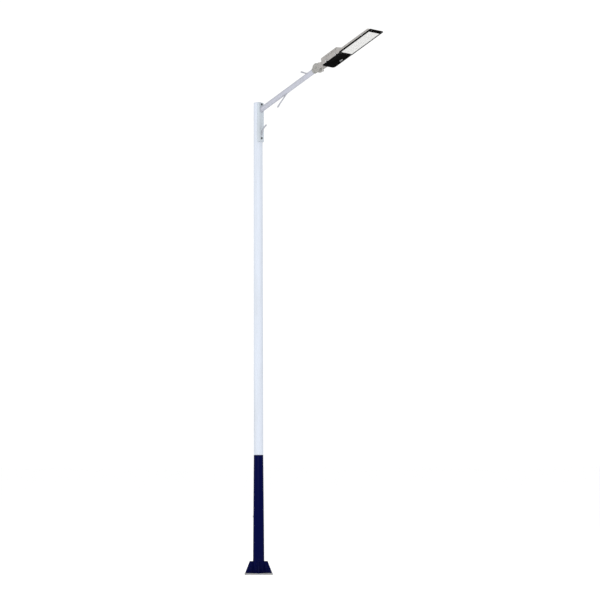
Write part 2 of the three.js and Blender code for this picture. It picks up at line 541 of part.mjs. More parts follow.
function makeCover() {
  const { x0, x1, halfW, hingeY, hingeZ } = COVER;
  const width = 24;
  const middle = (x) => x + width / 2;
  const barrels = Object.values(COVER_HINGES).map((x) => coverBarrel([middle(x) + GAP, x + width],
    box([middle(x) + GAP, x + width], [hingeY, -110], [HEAD.faceZ, HEAD.faceZ + 3])));
  const plate = planPrism(roundedRect([x0, x1], [-halfW, halfW], [34, 2]), [HEAD.faceZ, HEAD.plateZ]);
  const ribs = [-60, 0].map((y) => box([190, 440], [y - 1.5, y + 1.5], [HEAD.plateZ - 1, HEAD.plateZ + 8]));
  const latchHole = rodZ(COVER_LATCH.r + GAP, [-80, -50], [COVER_LATCH.x, COVER_LATCH.y], 20);
  lanternPiece('driver_cover', FINISH.black, cut(join(plate, ...ribs, ...barrels), latchHole));
  lanternPiece('cover_gasket', FINISH.rubber,
    flatRing([BAY.x0 - 5, BAY.x1 + 1], BAY.lowHalfW + 5, 4.5, [HEAD.plateZ + GAP, HEAD.rimZ - GAP]));
  for (const [name, x] of Object.entries(COVER_HINGES)) {
    const leaf = box([x, middle(x)], [-HEAD.halfW - 2.5, -HEAD.halfW - GAP], [hingeZ, -34]);
    lanternPiece(`cover_hinge_${name}`, FINISH.stainless, coverBarrel([x, middle(x)], leaf));
    lanternPiece(`cover_hinge_pin_${name}`, FINISH.stainless,
      rodX(COVER.pinR, [x - 2, x + width + 2], [hingeY, hingeZ], 16));
  }
}

function makeCoverLatch() {
  const { x, y, r, camL } = COVER_LATCH;
  const grip = planPrism(roundedRect([x - 24, x + 24], [y - 12, y + 12], [12, 12]),
    [HEAD.faceZ - 6, HEAD.faceZ - GAP]);
  const spindle = rodZ(r, [HEAD.faceZ - 3, -55], [x, y], 20);
  const cam = box([x - camL, x + 7], [y - 7, y + 7], [-59.5, -55]);
  lanternPiece('cover_latch', FINISH.greyPlastic, join(grip, spindle, cam));
}

makeFlange();
makeGussets();
makeLowerShaft();
makeUpperShaft();
makeServiceDoor();
makeServiceGear();
makeSupplyCable();
makeBracket();
makeArm();
makeKnuckle();
makeHousing();
makeLightEngine();
makeControlGear();
makeCover();
makeCoverLatch();

export default post;
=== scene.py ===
"""Looks of the street lamp post: coats, welds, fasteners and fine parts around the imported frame."""
import json
import math

import bmesh
import bpy
from mathutils import Matrix, Vector


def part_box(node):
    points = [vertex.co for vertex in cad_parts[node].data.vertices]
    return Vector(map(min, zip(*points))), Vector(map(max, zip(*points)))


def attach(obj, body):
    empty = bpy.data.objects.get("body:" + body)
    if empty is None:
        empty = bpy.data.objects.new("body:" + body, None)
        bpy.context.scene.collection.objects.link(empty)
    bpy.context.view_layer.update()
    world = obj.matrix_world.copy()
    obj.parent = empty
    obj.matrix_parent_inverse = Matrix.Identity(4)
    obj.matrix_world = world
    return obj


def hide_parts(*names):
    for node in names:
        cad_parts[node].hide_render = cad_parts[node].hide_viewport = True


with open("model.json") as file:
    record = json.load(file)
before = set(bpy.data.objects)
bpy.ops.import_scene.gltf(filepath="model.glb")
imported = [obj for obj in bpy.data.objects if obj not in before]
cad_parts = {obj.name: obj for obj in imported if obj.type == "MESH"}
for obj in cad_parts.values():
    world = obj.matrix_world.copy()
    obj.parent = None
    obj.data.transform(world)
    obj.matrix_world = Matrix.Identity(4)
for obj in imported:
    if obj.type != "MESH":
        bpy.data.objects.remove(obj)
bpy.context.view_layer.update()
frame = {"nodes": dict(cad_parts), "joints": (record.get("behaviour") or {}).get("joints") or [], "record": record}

# ------------------------------------------------------------------ places, all from the frame
JOINTS = {joint["name"]: joint for joint in frame["joints"]}
NODES = frame["nodes"]
KNUCKLE = Vector(JOINTS["lantern_tilt"]["pos_m"])
ALONG = -Vector(JOINTS["driver_cover_hinge"]["axis"])
TILT = math.atan2(ALONG.z, ALONG.x)
# The lantern's own frame: origin on the tilt axis, +x along the arm, +z out of the top of the lantern.
LANTERN = Matrix.Translation(KNUCKLE) @ Matrix.Rotation(-TILT, 4, "Y")
POLE_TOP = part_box("upper_shaft")[1].z
SEAM_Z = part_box("lower_shaft")[1].z


def lantern_box(node):
    """Lowest and highest corner of a CAD node in the lantern's own frame."""
    inverse = LANTERN.inverted()
    points = [inverse @ v.co for v in NODES[node].data.vertices]
    low = Vector([min(p[i] for p in points) for i in range(3)])
    high = Vector([max(p[i] for p in points) for i in range(3)])
    return low, high


# ------------------------------------------------------------------ camera, light and floor
CAMERA = {"azimuth": 44.0, "distance": 28.03, "height": 1.45, "yaw": -1.083, "pitch": 4.11, "roll": -0.15,
          "lens": 132.6}


def add_camera():
    """A long lens at chest height, looking slightly up at the post from its front right."""
    data = bpy.data.cameras.new("camera")
    data.lens = CAMERA["lens"]
    data.sensor_width = 36.0
    data.clip_end = 400.0
    camera = bpy.data.objects.new("camera", data)
    azimuth = math.radians(CAMERA["azimuth"])
    camera.location = (math.sin(azimuth) * CAMERA["distance"], -math.cos(azimuth) * CAMERA["distance"],
                       CAMERA["height"])
    heading = Matrix.Rotation(azimuth + math.radians(CAMERA["yaw"]), 3, "Z")
    tip_up = Matrix.Rotation(math.radians(90 + CAMERA["pitch"]), 3, "X")
    roll = Matrix.Rotation(math.radians(CAMERA["roll"]), 3, "Z")
    camera.rotation_euler = (heading @ tip_up @ roll).to_euler()
    bpy.context.scene.collection.objects.link(camera)
    bpy.context.scene.camera = camera


def add_area_light(name, position, target, size, power):
    """A round softbox facing a target point."""
    data = bpy.data.lights.new(name, "AREA")
    data.shape = "DISK"
    data.size = size
    data.energy = power
    light = bpy.data.objects.new(name, data)
    light.location = position
    light.rotation_euler = (Vector(target) - Vector(position)).to_track_quat("-Z", "Y").to_euler()
    bpy.context.scene.collection.objects.link(light)


AMBIENT = {"seen": 1.05, "direct": 0.80, "in_gloss": 0.45}  # brightness of the studio's white walls
SOFTBOXES = (("key", (9.0, -13.0, 8.0), 900),
             ("fill", (-12.0, -6.0, 6.0), 160),
             ("back", (3.0, 14.0, 9.0), 260))
SOFTBOX_SIZE = 7.0
LIGHT_TARGET = (0.5, 0, 3.2)
FLOOR = {"half": 400.0, "drop": 0.0005, "glow": 0.29}


def add_studio():
    """White walls that light the post evenly, large soft lights and a pale floor."""
    scene = bpy.context.scene
    scene.view_settings.view_transform = "Standard"
    world = bpy.data.worlds.new("studio")
    world.use_nodes = True
    tree = world.node_tree
    background = tree.nodes["Background"]
    background.inputs["Color"].default_value = (1, 1, 1, 1)
    rays = tree.nodes.new("ShaderNodeLightPath")
    strength = AMBIENT["direct"]
    for ray, kind in (("Is Glossy Ray", "in_gloss"), ("Is Camera Ray", "seen")):
        choice = tree.nodes.new("ShaderNodeMix")
        tree.links.new(rays.outputs[ray], choice.inputs["Factor"])
        choice.inputs["B"].default_value = AMBIENT[kind]
        if isinstance(strength, float):
            choice.inputs["A"].default_value = strength
        else:
            tree.links.new(strength, choice.inputs["A"])
        strength = choice.outputs["Result"]
    tree.links.new(strength, background.inputs["Strength"])
    scene.world = world
    for name, position, power in SOFTBOXES:
        add_area_light(name, position, LIGHT_TARGET, SOFTBOX_SIZE, power)
    add_floor()


def add_floor():
    """A wide floor just below the post, left out of what glossy coats reflect."""
    mesh = bpy.data.meshes.new("floor")
    half = FLOOR["half"]
    mesh.from_pydata([(-half, -half, 0), (half, -half, 0), (half, half, 0), (-half, half, 0)], [],
                     [(0, 1, 2, 3)])
    floor = bpy.data.objects.new("floor", mesh)
    bpy.context.scene.collection.objects.link(floor)
    floor.location.z = -FLOOR["drop"]
    floor.visible_glossy = False
    floor.data.materials.append(floor_material())


# ------------------------------------------------------------------ materials
class Shader:
    """A node material around one Principled shader, fed by noises in the object's own metres."""

    def __init__(self, name, color=(0.5, 0.5, 0.5), roughness=0.5, metallic=0.0):
        self.material = bpy.data.materials.new(name)
        self.material.use_nodes = True
        self.tree = self.material.node_tree
        self.principled = self.tree.nodes["Principled BSDF"]
        self.place = self.tree.nodes.new("ShaderNodeTexCoord").outputs["Object"]
        self.set("Base Color", (*color, 1))
        self.set("Roughness", roughness)
        self.set("Metallic", metallic)

    def set(self, socket, value):
        """Gives a socket of the Principled shader a value."""
        self.principled.inputs[socket].default_value = value

    def wire(self, output, socket):
        """Links an output to a socket of the Principled shader."""
        self.tree.links.new(output, self.principled.inputs[socket])

    def add(self, kind, links=None, values=None, **fields):
        """A node with its fields set, its inputs linked and its other inputs given values."""
        node = self.tree.nodes.new(kind)
        for field, value in fields.items():
            setattr(node, field, value)
        for socket, value in (values or {}).items():
            node.inputs[socket].default_value = value
        for socket, output in (links or {}).items():
            self.tree.links.new(output, node.inputs[socket])
        return node

    def stretched(self, scale):
        """The object's coordinates, scaled along each axis."""
        return self.add("ShaderNodeMapping", {"Vector": self.place}, {"Scale": scale}).outputs["Vector"]

    def noise(self, scale, detail=3.0, stretch=None, roughness=0.5):
        """Cloudy values from 0 to 1; scale counts the clouds in a metre."""
        place = self.stretched(stretch) if stretch else self.place
        values = {"Scale": scale, "Detail": detail, "Roughness": roughness}
        return self.add("ShaderNodeTexNoise", {"Vector": place}, values).outputs["Fac"]

    def cells(self, scale):
        """A random colour for each cell of a crystal pattern."""
        node = self.add("ShaderNodeTexVoronoi", {"Vector": self.place}, {"Scale": scale})
        return node.outputs["Color"]

    def remap(self, source, low, high, to_low=0.0, to_high=1.0):
        """source, with low..high stretched to to_low..to_high and clamped."""
        values = {"From Min": low, "From Max": high, "To Min": to_low, "To Max": to_high}
        return self.add("ShaderNodeMapRange", {"Value": source}, values).outputs["Result"]

    def times(self, a, b):
        """The product of two outputs."""
        return self.add("ShaderNodeMath", {0: a, 1: b}, operation="MULTIPLY").outputs["Value"]

    def mix(self, factor, a, b):
        """Colour a turning into colour b; either may be an output or a plain colour."""
        node = self.add("ShaderNodeMix", {"Factor": factor}, data_type="RGBA")
        for socket, value in ((node.inputs[6], a), (node.inputs[7], b)):
            if isinstance(value, tuple):
                socket.default_value = (*value, 1)
            else:
                self.tree.links.new(value, socket)
        return node.outputs[2]

    def height(self):
        """The height above the ground of each point, in metres."""
        return self.add("ShaderNodeSeparateXYZ", {"Vector": self.place}).outputs["Z"]

    def edges(self, radius):
        """1 along sharp edges and 0 on flat faces."""
        soft = self.add("ShaderNodeBevel", values={"Radius": radius}, samples=4).outputs["Normal"]
        true = self.add("ShaderNodeNewGeometry").outputs["True Normal"]
        dot = self.add("ShaderNodeVectorMath", {0: soft, 1: true}, operation="DOT_PRODUCT").outputs["Value"]
        return self.remap(dot, 0.995, 0.86)

    def bump(self, layers, distance=0.001):
        """Bumps chained from (height output, strength) pairs."""
        normal = None
        for source, strength in layers:
            values = {"Strength": strength, "Distance": distance}
            node = self.add("ShaderNodeBump", {"Height": source}, values)
            if normal:
                self.tree.links.new(normal, node.inputs["Normal"])
            normal = node.outputs["Normal"]
        self.wire(normal, "Normal")


def floor_material():
    """A pale matt floor that is clear when seen from underneath."""
    shader = Shader("floor_pale", (0.93, 0.93, 0.93), 0.9)
    grain = shader.noise(0.8, 2.0)
    shader.wire(shader.mix(grain, (0.92, 0.92, 0.92), (0.94, 0.94, 0.94)), "Base Color")
    shader.set("Emission Color", (1, 1, 1, 1))
    shader.set("Emission Strength", FLOOR["glow"])
    underside = shader.add("ShaderNodeNewGeometry").outputs["Backfacing"]
    clear = shader.add("ShaderNodeBsdfTransparent").outputs["BSDF"]
    choice = shader.add("ShaderNodeMixShader", {0: underside, 1: shader.principled.outputs["BSDF"], 2: clear})
    shader.tree.links.new(choice.outputs["Shader"], shader.tree.nodes["Material Output"].inputs["Surface"])
    return shader.material


MUD = {"low": 0.02, "high": 0.30, "cover": 0.25, "color": (0.05, 0.048, 0.055)}


def powder_coat(name, clean, dusty, roughness=0.42, specular=0.2):
    """Baked paint on steel: faint orange peel, rain streaks, a film of dust and spatter at the foot."""
    shader = Shader(name, clean, roughness)
    streaks = shader.noise(22.0, 4.0, (1, 1, 0.045))
    clouds = shader.noise(2.4, 3.0)
    film = shader.times(shader.remap(streaks, 0.45, 0.75), shader.remap(clouds, 0.35, 0.7, 0.2, 1.0))
    spatter = shader.remap(shader.noise(65.0, 6.0, roughness=0.65), 0.48, 0.72)
    near_ground = shader.remap(shader.height(), MUD["high"], MUD["low"], 0.0, MUD["cover"])
    coat = shader.mix(film, clean, dusty)
    shader.wire(shader.mix(shader.times(spatter, near_ground), coat, MUD["color"]), "Base Color")
    shader.wire(shader.remap(shader.noise(60.0, 2.0), 0.3, 0.7, roughness - 0.06, roughness + 0.08),
                "Roughness")
    shader.bump([(shader.noise(420.0, 2.0), 0.10), (shader.noise(30.0, 2.0), 0.03)])
    shader.set("Specular IOR Level", specular)
    return shader.material


def galvanised_steel():
    """Zinc crystals over steel, dulled and slightly stained."""
    shader = Shader("galvanised_steel", (0.5, 0.51, 0.53), 0.5, 0.75)
    crystals = shader.cells(90.0)
    tone = shader.add("ShaderNodeRGBToBW", {"Color": crystals}).outputs["Val"]
    stain = shader.remap(shader.noise(14.0, 4.0), 0.45, 0.7)
    zinc = shader.mix(tone, (0.42, 0.43, 0.45), (0.60, 0.61, 0.63))
    shader.wire(shader.mix(stain, zinc, (0.5, 0.48, 0.45)), "Base Color")
    shader.wire(shader.remap(tone, 0.0, 1.0, 0.4, 0.62), "Roughness")
    shader.bump([(shader.noise(260.0, 3.0), 0.12)])
    return shader.material


def stainless_steel():
    """Bright steel with a fine brushed grain."""
    shader = Shader("stainless_steel", (0.72, 0.73, 0.74), 0.28, 1.0)
    brushed = shader.noise(300.0, 2.0, (0.08, 1, 1))
    shader.wire(shader.remap(brushed, 0.3, 0.7, 0.2, 0.38), "Roughness")
    shader.bump([(brushed, 0.06)])
    return shader.material


def dark_bolt_steel():
    """Blackened steel with specks of rust."""
    shader = Shader("bolt_steel", (0.2, 0.205, 0.215), 0.45, 0.85)
    rust = shader.remap(shader.noise(120.0, 4.0), 0.6, 0.75)
    shader.wire(shader.mix(rust, (0.16, 0.165, 0.175), (0.22, 0.15, 0.11)), "Base Color")
    shader.wire(shader.remap(rust, 0.0, 1.0, 0.38, 0.75), "Roughness")
    shader.bump([(shader.noise(500.0, 2.0), 0.08)])
    return shader.material


def cast_aluminium(name, clean, stained):
    """Die-cast alloy under a textured coat, brighter where its edges have worn."""
    shader = Shader(name, clean, 0.55, 0.25)
    mottled = shader.mix(shader.remap(shader.noise(26.0, 4.0), 0.35, 0.7), clean, stained)
    shader.wire(shader.mix(shader.edges(0.0025), mottled, (0.55, 0.545, 0.53)), "Base Color")
    shader.wire(shader.remap(shader.noise(90.0, 2.0), 0.3, 0.7, 0.48, 0.64), "Roughness")
    shader.bump([(shader.noise(900.0, 2.0), 0.18), (shader.noise(70.0, 2.0), 0.05)])
    return shader.material


def black_coat():
    """Semi-gloss black, with a grey line where edges have rubbed and a trace of dust."""
    shader = Shader("black_coat", (0.012, 0.012, 0.013), 0.42)
    dust = shader.remap(shader.noise(18.0, 5.0), 0.55, 0.8)
    base = shader.mix(dust, (0.0007, 0.0007, 0.0008), (0.0024, 0.0024, 0.0026))
    shader.wire(shader.mix(shader.edges(0.0015), base, (0.022, 0.022, 0.023)), "Base Color")
    shader.wire(shader.remap(shader.noise(45.0, 3.0), 0.3, 0.7, 0.36, 0.52), "Roughness")
    shader.bump([(shader.noise(700.0, 2.0), 0.12)])
    shader.set("Specular IOR Level", 0.01)
    return shader.material


def moulded_plastic(name, color, roughness=0.55):
    """Plastic or rubber with a fine moulded grain and slightly uneven colour."""
    shader = Shader(name, color, roughness)
    darker = tuple(0.8 * part for part in color)
    shader.wire(shader.mix(shader.noise(40.0, 3.0), color, darker), "Base Color")
    shader.wire(shader.remap(shader.noise(160.0, 2.0), 0.3, 0.7, roughness - 0.06, roughness + 0.08),
                "Roughness")
    shader.bump([(shader.noise(1200.0, 2.0), 0.08)])
    return shader.material


def brass_metal():
    """Brass, partly tarnished."""
    shader = Shader("brass_metal", (0.6, 0.42, 0.16), 0.35, 0.95)
    tarnish = shader.remap(shader.noise(150.0, 3.0), 0.45, 0.75)
    shader.wire(shader.mix(tarnish, (0.62, 0.43, 0.16), (0.36, 0.25, 0.11)), "Base Color")
    shader.wire(shader.remap(tarnish, 0.0, 1.0, 0.28, 0.55), "Roughness")
    return shader.material


def lens_plastic_painted_glow():
    """Clear lens sheet over the LED board: near white, glossy, faintly brighter between the lens cells, with a
    faint painted glow on its downward face.
    """
    shader = Shader("lens_plastic_painted_glow", (0.70, 0.70, 0.69), 0.16)
    haze = shader.noise(35.0, 3.0)
    shader.wire(shader.mix(haze, (0.71, 0.71, 0.70), (0.66, 0.66, 0.65)), "Base Color")
    shader.wire(shader.remap(haze, 0.3, 0.7, 0.12, 0.24), "Roughness")
    # The emission is painted light: a faint glow that brightens the lens's downward face.
    shader.set("Emission Color", (1, 1, 0.98, 1))
    shader.set("Emission Strength", 0.04)
    return shader.material


def circuit_board():
    """The white solder mask of an LED board."""
    shader = Shader("circuit_board", (0.82, 0.83, 0.80), 0.45)
    mask = shader.noise(220.0, 2.0)
    shader.wire(shader.mix(mask, (0.84, 0.85, 0.82), (0.78, 0.79, 0.76)), "Base Color")
    shader.bump([(mask, 0.05)])
    return shader.material


WHITE = powder_coat("white_coat", (0.60, 0.645, 0.725), (0.51, 0.54, 0.58), 0.42, 0.12)
# The bracket, arm and horns take darker copies of the same white coat: painted shade, where the one white paint
# lies in less light.
BRACKET_WHITE_PAINTED_SHADE = powder_coat("bracket_coat_painted_shade", (0.50, 0.55, 0.60), (0.43, 0.46, 0.49), 0.45)
ARM_WHITE_PAINTED_SHADE = powder_coat("arm_coat_painted_shade", (0.43, 0.44, 0.50), (0.36, 0.37, 0.40), 0.45)
HORN_WHITE_PAINTED_SHADE = powder_coat("horn_coat_painted_shade", (0.36, 0.37, 0.41), (0.30, 0.30, 0.33), 0.45)
NAVY = powder_coat("navy_coat", (0.0004, 0.0018, 0.042), (0.0015, 0.003, 0.040), 0.38, 0.03)
GALVANISED = galvanised_steel()
STAINLESS = stainless_steel()
BOLT_STEEL = dark_bolt_steel()
CAST_GREY = cast_aluminium("cast_grey", (0.42, 0.402, 0.385), (0.35, 0.336, 0.322))
# The knuckle takes a darker copy of the cast grey coat: painted shade, where the same cast finish lies in less
# light.
KNUCKLE_GREY_PAINTED_SHADE = cast_aluminium("knuckle_grey_painted_shade", (0.35, 0.35, 0.33), (0.27, 0.275, 0.255))
BLACK = black_coat()
BLACK_PLASTIC = moulded_plastic("black_plastic", (0.02, 0.02, 0.021))
GREY_PLASTIC = moulded_plastic("grey_plastic", (0.20, 0.21, 0.22))
RUBBER = moulded_plastic("black_rubber", (0.018, 0.018, 0.018), 0.8)
DRIVER_CASE = moulded_plastic("driver_case", (0.56, 0.57, 0.58), 0.4)
STEEL_GREY = moulded_plastic("latch_grey", (0.34, 0.34, 0.33), 0.4)
WIRE_BROWN = moulded_plastic("wire_brown", (0.10, 0.035, 0.012), 0.45)
WIRE_BLUE = moulded_plastic("wire_blue", (0.02, 0.09, 0.42), 0.45)
WIRE_EARTH = moulded_plastic("wire_earth", (0.20, 0.42, 0.03), 0.45)
BRASS = brass_metal()
LENS = lens_plastic_painted_glow()
BOARD = circuit_board()

SLOT_FINISH = {
    "navy_paint": NAVY, "white_paint": WHITE, "galvanised": GALVANISED, "stainless": STAINLESS,
    "bolt_steel": BOLT_STEEL, "cast_grey": CAST_GREY, "black_paint": BLACK, "black_plastic": BLACK_PLASTIC,
    "lens": LENS, "led_board": BOARD, "driver_case": DRIVER_CASE, "rubber": RUBBER,
    "grey_plastic": GREY_PLASTIC, "brass": BRASS,
}
# The arm and bracket get darker copies of the white coat, and the knuckle a darker copy of the cast grey: painted
# shade.
OWN_FINISH = {"arm_tube": ARM_WHITE_PAINTED_SHADE, "arm_bracket": BRACKET_WHITE_PAINTED_SHADE, "knuckle_socket": KNUCKLE_GREY_PAINTED_SHADE,
              "knuckle_bolt": KNUCKLE_GREY_PAINTED_SHADE}


# ------------------------------------------------------------------ carried-over CAD nodes
ROUNDING = {"merge": 0.00001, "width": 0.0006, "sharp": math.radians(32)}


def refine(obj):
    """Gives a CAD node round edges and smooth curved faces, leaving its own mesh as it is."""
    obj.data.polygons.foreach_set("use_smooth", [True] * len(obj.data.polygons))
    weld = obj.modifiers.new("weld", "WELD")
    weld.merge_threshold = ROUNDING["merge"]
    soften = obj.modifiers.new("soften", "BEVEL")
    soften.width = ROUNDING["width"]
    soften.segments = 2
    soften.limit_method = "ANGLE"
    soften.angle_limit = ROUNDING["sharp"]
    soften.use_clamp_overlap = True
    split = obj.modifiers.new("split", "EDGE_SPLIT")
    split.split_angle = ROUNDING["sharp"]


def dress_cad_nodes():
    """Gives every CAD node its finish and round edges."""
    for row in frame["record"]["subparts"]:
        obj = NODES[row["node"]]
        obj.data.materials.clear()
        obj.data.materials.append(OWN_FINISH.get(row["node"], SLOT_FINISH[row["material_slot"]]))
        refine(obj)


# ------------------------------------------------------------------ mesh helpers
def turn(count, phase=0.0):
    """Evenly spaced angles round a circle."""
    return [phase + 2 * math.pi * i / count for i in range(count)]


def circle(radius, z, sides):
    """Points round a circle about the Z axis."""
    return [Vector((radius * math.cos(a), radius * math.sin(a), z)) for a in turn(sides)]


def hexagon(across, z, limit, sides=48):
    """A hexagon with its corners rounded off at a limit radius, as on a chamfered nut."""
    ring = []
    for a in turn(sides):
        to_flat = (a + math.pi / 6) % (math.pi / 3) - math.pi / 6
        radius = min(across / 2 / math.cos(to_flat), limit)
        ring.append(Vector((radius * math.cos(a), radius * math.sin(a), z)))
    return ring


def rounded_rectangle(x, y, z, corner, steps=5):
    """Points round a rectangle with arcs for corners."""
    ring = []
    for quarter, (cx, cy) in enumerate(((x[1] - corner, y[1] - corner), (x[0] + corner, y[1] - corner),
                                        (x[0] + corner, y[0] + corner), (x[1] - corner, y[0] + corner))):
        for i in range(steps + 1):
            a = math.pi / 2 * (quarter + i / steps)
            ring.append(Vector((cx + corner * math.cos(a), cy + corner * math.sin(a), z)))
    return ring


def smooth_path(points, steps):
    """Points along a smooth curve through the given points."""
    points = [Vector(p) for p in points]
    guides = [2 * points[0] - points[1], *points, 2 * points[-1] - points[-2]]
    path = []
    for a, b, c, d in zip(guides, guides[1:], guides[2:], guides[3:]):
        for i in range(steps):
            t = i / steps
            path.append(0.5 * (2 * b + (c - a) * t + (2 * a - 5 * b + 4 * c - d) * t ** 2
                               + (3 * b - a - 3 * c + d) * t ** 3))
    return [*path, points[-1]]


SMALLEST_CORNER = 0.0002
SHALLOW = math.radians(40)


class Shape:
    """Closed forms gathered into one mesh."""

    def __init__(self):
        self.verts = []
        self.faces = []

    def loft(self, rings, matrix=Matrix(), closed=False):
        """A skin over rings of points, capped at its ends unless it closes on itself."""
        start = len(self.verts)
        sides = len(rings[0])
        for ring in rings:
            self.verts += [matrix @ point for point in ring]
        links = len(rings) if closed else len(rings) - 1
        for i in range(links):
            low = start + i * sides
            high = start + (i + 1) % len(rings) * sides
            for j in range(sides):
                k = (j + 1) % sides
                self.faces.append((low + j, low + k, high + k, high + j))
        if not closed:
            self.faces.append(tuple(range(start + sides - 1, start - 1, -1)))
            last = start + (len(rings) - 1) * sides
            self.faces.append(tuple(range(last, last + sides)))
        return self

    def lathe(self, profile, matrix=Matrix(), sides=48, closed=False):
        """A body turned round Z from (radius, z) points listed upwards."""
        return self.loft([circle(r, z, sides) for r, z in profile], matrix, closed)

    def slab(self, x, y, z, corner, edge, matrix=Matrix()):
        """A rounded rectangular block with softened top and bottom edges."""

        def ring(inset, height):
            return rounded_rectangle((x[0] + inset, x[1] - inset), (y[0] + inset, y[1] - inset), height,
                                     max(corner - inset, SMALLEST_CORNER))

        return self.loft([ring(edge, z[0]), ring(0, z[0] + edge), ring(0, z[1] - edge), ring(edge, z[1])],
                         matrix)

    def tube(self, path, radii, sides=10, closed=False):
        """A round bar along a path, with its own radius at each point."""
        count = len(path)
        normal = None
        rings = []
        for i, point in enumerate(path):
            before = path[(i - 1) % count] if closed else path[max(i - 1, 0)]
            after = path[(i + 1) % count] if closed else path[min(i + 1, count - 1)]
            tangent = (after - before).normalized()
            if normal is None:
                normal = tangent.orthogonal()
            normal = (normal - tangent * normal.dot(tangent)).normalized()
            side = tangent.cross(normal)
            rings.append([point + radii[i] * (math.cos(a) * normal + math.sin(a) * side)
                          for a in turn(sides)])
        return self.loft(rings, closed=closed)

    def bead(self, path, radius, closed=False):
        """A weld bead: a half-sunk bar with the ripples of each pass."""
        radii = [radius * (1 + 0.13 * math.sin(2.1 * i) + 0.07 * math.sin(0.37 * i + 1))
                 for i in range(len(path))]
        return self.tube(path, radii, 8, closed)

    def finish(self, name, body, material, slot, replaces=()):
        """Makes the object, smooth across its shallow edges, riding on a body."""
        mesh = bpy.data.meshes.new(name)
        mesh.from_pydata(self.verts, [], self.faces)
        build = bmesh.new()
        build.from_mesh(mesh)
        bmesh.ops.recalc_face_normals(build, faces=build.faces)
        for edge in build.edges:
            edge.smooth = edge.calc_face_angle(0) < SHALLOW
        for face in build.faces:
            face.smooth = True
        build.to_mesh(mesh)
        build.free()
        obj = bpy.data.objects.new(name, mesh)
        bpy.context.scene.collection.objects.link(obj)
        mesh.materials.append(material)
        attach(obj, body)
        if replaces:
            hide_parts(*replaces)


def line(start, end, step):
    """Points from start to end, about step apart."""
    start = Vector(start)
    end = Vector(end)
    count = max(2, math.ceil((end - start).length / step))
    return [start.lerp(end, i / count) for i in range(count + 1)]


# ------------------------------------------------------------------ the post
WELD_STEP = 0.0016  # between the ripples of a weld bead
FOOT_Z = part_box("lower_shaft")[0].z
FOOT_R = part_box("lower_shaft")[1].y
SEAM_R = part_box("upper_shaft")[1].y
TOP_R = SEAM_R - 0.0035
GUSSET = {"top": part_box("gusset_45")[1].z, "toe_r": 0.163, "bead_y": 0.0049}
FACE_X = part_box("arm_bracket")[1].x
# Turns that lay a lathed body's axis along +x or -x.
AROUND_X = Matrix.Rotation(math.pi / 2, 4, "Y")
AROUND_MINUS_X = Matrix.Rotation(-math.pi / 2, 4, "Y")


def shaft_r(z):
    """Outer radius of either shaft at a height."""
    if z < SEAM_Z:
        return FOOT_R + (SEAM_R - FOOT_R) * (z - FOOT_Z) / (SEAM_Z - FOOT_Z)
    return SEAM_R + (TOP_R - SEAM_R) * (z - SEAM_Z) / (POLE_TOP - SEAM_Z)


def ring_path(radius, z):
    """A circle with a point for each ripple of a weld bead."""
    count = round(2 * math.pi * radius / WELD_STEP)
    return circle(radius, z, count)


def make_base_welds():
    """Fillet beads round the shaft's foot and along both sides of each gusset."""
    Shape().bead(ring_path(FOOT_R + 0.0012, FOOT_Z + 0.0014), 0.0034, closed=True).finish(
        "weld_shaft_foot", "post", NAVY, "navy_paint")
    shape = Shape()
    plate = FOOT_Z + 0.0008
    top = GUSSET["top"] - 0.001
    for angle in turn(4, math.pi / 4):
        around = Matrix.Rotation(angle, 4, "Z")
        for y in (-GUSSET["bead_y"], GUSSET["bead_y"]):
            foot = line((GUSSET["toe_r"], y, plate), (FOOT_R + 0.003, y, plate), WELD_STEP)
            rise = line((FOOT_R + 0.0002, y, FOOT_Z + 0.003), (shaft_r(top) + 0.0002, y, top), WELD_STEP)
            shape.bead([around @ p for p in foot + rise], 0.0026)
    shape.finish("weld_gussets", "post", NAVY, "navy_paint")


def make_shaft_seams():
    """The bead between the two shafts and the long seam up each shaft's +y side."""
    Shape().bead(ring_path(SEAM_R - 0.0004, SEAM_Z + 0.0002), 0.0022, closed=True).finish(
        "weld_shaft_joint", "post", WHITE, "white_paint")
    spans = {"shaft_seam_lower": (GUSSET["top"], SEAM_Z - 0.004, NAVY, "navy_paint"),
             "shaft_seam_upper": (SEAM_Z + 0.004, POLE_TOP - 0.002, WHITE, "white_paint")}
    count = 90
    radii = [0.0017 + 0.0002 * math.sin(0.9 * i) for i in range(count + 1)]
    for name, (z0, z1, material, slot) in spans.items():
        heights = [z0 + (z1 - z0) * i / count for i in range(count + 1)]
        path = [Vector((0, shaft_r(z) - 0.0006, z)) for z in heights]
        Shape().tube(path, radii, 8).finish(name, "post", material, slot)


BOLT = {"r": 0.006, "grip_x": -0.052, "tip_x": -0.072, "thread_x": -0.050, "head_af": 0.021, "nut_af": 0.019}


def threaded(tip, root, radius, pitch=0.00175):
    """Profile of a threaded shank from its chamfered tip to its root."""
    profile = [(radius * 0.75, tip), (radius * 0.86, tip + pitch / 2)]
    z = tip + pitch
    while z < root - pitch:
        profile += [(radius, z), (radius * 0.87, z + pitch / 2)]
        z += pitch
    return [*profile, (radius, root)]


